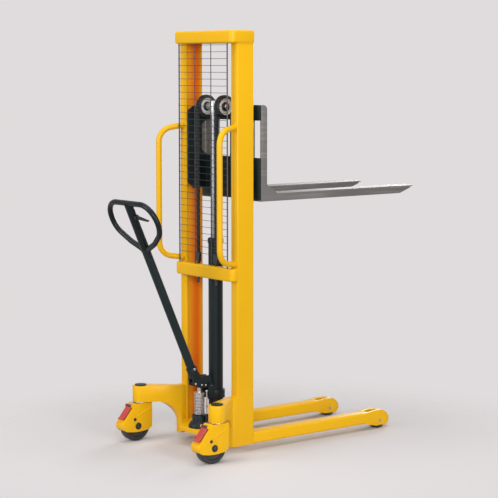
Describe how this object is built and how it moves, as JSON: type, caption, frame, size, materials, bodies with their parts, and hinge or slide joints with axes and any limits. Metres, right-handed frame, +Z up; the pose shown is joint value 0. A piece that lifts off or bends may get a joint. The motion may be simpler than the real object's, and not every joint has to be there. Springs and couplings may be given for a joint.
{
  "type": "single-mast hand stacker",
  "caption": "Manual hydraulic lift truck: upright mast, chain-hoisted forks, pumping tiller, straddle legs on rollers and braked swivel castors.",
  "frame": {"origin": "on the floor, at the middle of the whole truck's footprint", "axes": "+X forward along the forks, +Y to the operator's left, +Z up the mast"},
  "size_m": [1.6092, 0.704, 2],
  "materials": {
    "yellow_paint": "glossy yellow machine enamel over folded and welded steel",
    "black_paint": "satin black paint",
    "fork_steel": "worn grey paint with bare steel at the edges",
    "ram_chrome": "hard chrome, oiled",
    "bright_steel": "turned and zinc-plated steel",
    "spring_zinc": "bright zinc-plated spring wire",
    "guard_wire": "dark coated wire, worn to grey where it is knocked",
    "chain_steel": "oiled leaf chain",
    "wheel_nylon": "black moulded wheel, lightly scuffed",
    "pedal_red": "red moulded pedal",
    "grip_coating": "black dipped coating"
  },
  "bodies": {
    "frame": {"left_column": "yellow_paint", "right_column": "yellow_paint", "top_beam": "yellow_paint", "middle_beam": "yellow_paint", "left_arm": "yellow_paint", "right_arm": "yellow_paint", "base_plate": "yellow_paint", "left_leg": "yellow_paint", "right_leg": "yellow_paint", "load_roller_axles": "bright_steel", "guard_mesh": "guard_wire", "left_grab_handle": "yellow_paint", "right_grab_handle": "yellow_paint", "lift_cylinder": "black_paint", "cylinder_clamp": "black_paint", "cylinder_gland": "black_paint", "pump_body": "black_paint", "pump_spring": "spring_zinc", "tiller_bracket": "black_paint", "tiller_pin": "bright_steel", "chain_anchors": "bright_steel", "chain_mast_runs": "chain_steel"},
    "ram": {"ram_rod": "ram_chrome", "ram_piston": "bright_steel", "crosshead": "bright_steel", "sheave_axle": "bright_steel", "sheave_spacers": "bright_steel", "chain_wraps": "chain_steel"},
    "carriage": {"carriage_left_plate": "black_paint", "carriage_right_plate": "black_paint", "carriage_upper_bar": "black_paint", "carriage_lower_plate": "black_paint", "left_fork": "fork_steel", "right_fork": "fork_steel", "chain_clevises": "bright_steel", "chain_carriage_runs": "chain_steel"},
    "tiller": {"tiller_tube": "black_paint", "tiller_foot": "black_paint", "grip_loop": "grip_coating"},
    "pump_roller": {"pump_roller": "bright_steel"},
    "plunger": {"pump_plunger": "bright_steel"},
    "valve_rod": {"valve_rod": "bright_steel"},
    "release_lever": {"release_lever": "grip_coating"},
    "left_sheave": {"left_sheave": "bright_steel"},
    "left_lower_guide_roller": {"left_lower_guide_roller": "bright_steel"},
    "left_upper_guide_roller": {"left_upper_guide_roller": "bright_steel"},
    "left_castor": {"left_castor_housing": "yellow_paint", "left_castor_axle": "bright_steel"},
    "left_castor_wheel": {"left_castor_wheel": "wheel_nylon"},
    "left_brake_pedal": {"left_brake_pedal": "pedal_red"},
    "left_load_roller": {"left_load_roller": "wheel_nylon"},
    "right_sheave": {"right_sheave": "bright_steel"},
    "right_lower_guide_roller": {"right_lower_guide_roller": "bright_steel"},
    "right_upper_guide_roller": {"right_upper_guide_roller": "bright_steel"},
    "right_castor": {"right_castor_housing": "yellow_paint", "right_castor_axle": "bright_steel"},
    "right_castor_wheel": {"right_castor_wheel": "wheel_nylon"},
    "right_brake_pedal": {"right_brake_pedal": "pedal_red"},
    "right_load_roller": {"right_load_roller": "wheel_nylon"}
  },
  "joints": [
    {"name": "ram_lift", "type": "slide", "parent": "frame", "child": "ram", "axis": [0, 0, 1], "range_m": [-0.55, 0.14], "deforming": ["chain_mast_runs"]},
    {"name": "carriage_lift", "type": "slide", "parent": "ram", "child": "carriage", "axis": [0, 0, 1], "range_m": [-0.55, 0.14], "deforming": ["chain_carriage_runs"]},
    {"name": "tiller_swing", "type": "hinge", "parent": "frame", "child": "tiller", "pos_m": [-0.3295, 0, 0.297], "axis": [0, -1, 0], "range_deg": [0, 38], "stiffness_Nm_per_rad": 30, "springref_deg": -57.3},
    {"name": "pump_stroke", "type": "slide", "parent": "frame", "child": "plunger", "axis": [0, 0, -1], "range_m": [0, 0.0336], "deforming": ["pump_spring"]},
    {"name": "pump_roller_spin", "type": "hinge", "parent": "tiller", "child": "pump_roller", "pos_m": [-0.38071, 0, 0.30603], "axis": [0, 1, 0], "continuous": true},
    {"name": "finger_lever", "type": "hinge", "parent": "tiller", "child": "release_lever", "pos_m": [-0.75843, -0.03, 1.13873], "axis": [-0.9146, 0, -0.4043], "range_deg": [0, 18], "stiffness_Nm_per_rad": 1, "springref_deg": -17.19},
    {"name": "valve_lift", "type": "slide", "parent": "frame", "child": "valve_rod", "axis": [0, 0, 1], "range_m": [0, 0.0085]},
    {"name": "left_sheave_spin", "type": "hinge", "parent": "ram", "child": "left_sheave", "pos_m": [-0.2795, 0.072, 1.642], "axis": [0, 1, 0], "continuous": true},
    {"name": "left_lower_guide_spin", "type": "hinge", "parent": "carriage", "child": "left_lower_guide_roller", "pos_m": [-0.273, 0.1945, 1.296], "axis": [0, 1, 0], "continuous": true},
    {"name": "left_upper_guide_spin", "type": "hinge", "parent": "carriage", "child": "left_upper_guide_roller", "pos_m": [-0.273, 0.1945, 1.59], "axis": [0, 1, 0], "continuous": true},
    {"name": "left_castor_swivel", "type": "hinge", "parent": "frame", "child": "left_castor", "pos_m": [-0.5085, 0.312, 0.187], "axis": [0, 0, 1], "continuous": true},
    {"name": "left_castor_roll", "type": "hinge", "parent": "left_castor", "child": "left_castor_wheel", "pos_m": [-0.5445, 0.312, 0.075], "axis": [0, 1, 0], "continuous": true},
    {"name": "left_brake", "type": "hinge", "parent": "left_castor", "child": "left_brake_pedal", "pos_m": [-0.57727, 0.312, 0.17643], "axis": [0, 1, 0], "range_deg": [0, 12]},
    {"name": "left_load_roller_roll", "type": "hinge", "parent": "frame", "child": "left_load_roller", "pos_m": [0.5965, 0.1945, 0.04], "axis": [0, 1, 0], "continuous": true},
    {"name": "right_sheave_spin", "type": "hinge", "parent": "ram", "child": "right_sheave", "pos_m": [-0.2795, -0.072, 1.642], "axis": [0, 1, 0], "continuous": true},
    {"name": "right_lower_guide_spin", "type": "hinge", "parent": "carriage", "child": "right_lower_guide_roller", "pos_m": [-0.273, -0.1945, 1.296], "axis": [0, 1, 0], "continuous": true},
    {"name": "right_upper_guide_spin", "type": "hinge", "parent": "carriage", "child": "right_upper_guide_roller", "pos_m": [-0.273, -0.1945, 1.59], "axis": [0, 1, 0], "continuous": true},
    {"name": "right_castor_swivel", "type": "hinge", "parent": "frame", "child": "right_castor", "pos_m": [-0.5085, -0.312, 0.187], "axis": [0, 0, 1], "continuous": true},
    {"name": "right_castor_roll", "type": "hinge", "parent": "right_castor", "child": "right_castor_wheel", "pos_m": [-0.5445, -0.312, 0.075], "axis": [0, 1, 0], "continuous": true},
    {"name": "right_brake", "type": "hinge", "parent": "right_castor", "child": "right_brake_pedal", "pos_m": [-0.57727, -0.312, 0.17643], "axis": [0, 1, 0], "range_deg": [0, 12]},
    {"name": "right_load_roller_roll", "type": "hinge", "parent": "frame", "child": "right_load_roller", "pos_m": [0.5965, -0.1945, 0.04], "axis": [0, 1, 0], "continuous": true}
  ],
  "couplings": [
    {"joint": "carriage_lift", "follows": "ram_lift", "ratio": 1},
    {"joint": "pump_stroke", "follows": "tiller_swing", "m_per_rad": 0.0504},
    {"joint": "valve_lift", "follows": "finger_lever", "m_per_rad": 0.025},
    {"joint": "left_sheave_spin", "follows": "ram_lift", "rad_per_m": -19.881},
    {"joint": "left_lower_guide_spin", "follows": "ram_lift", "rad_per_m": -50},
    {"joint": "left_upper_guide_spin", "follows": "ram_lift", "rad_per_m": 50},
    {"joint": "right_sheave_spin", "follows": "ram_lift", "rad_per_m": -19.881},
    {"joint": "right_lower_guide_spin", "follows": "ram_lift", "rad_per_m": -50},
    {"joint": "right_upper_guide_spin", "follows": "ram_lift", "rad_per_m": 50}
  ]
}
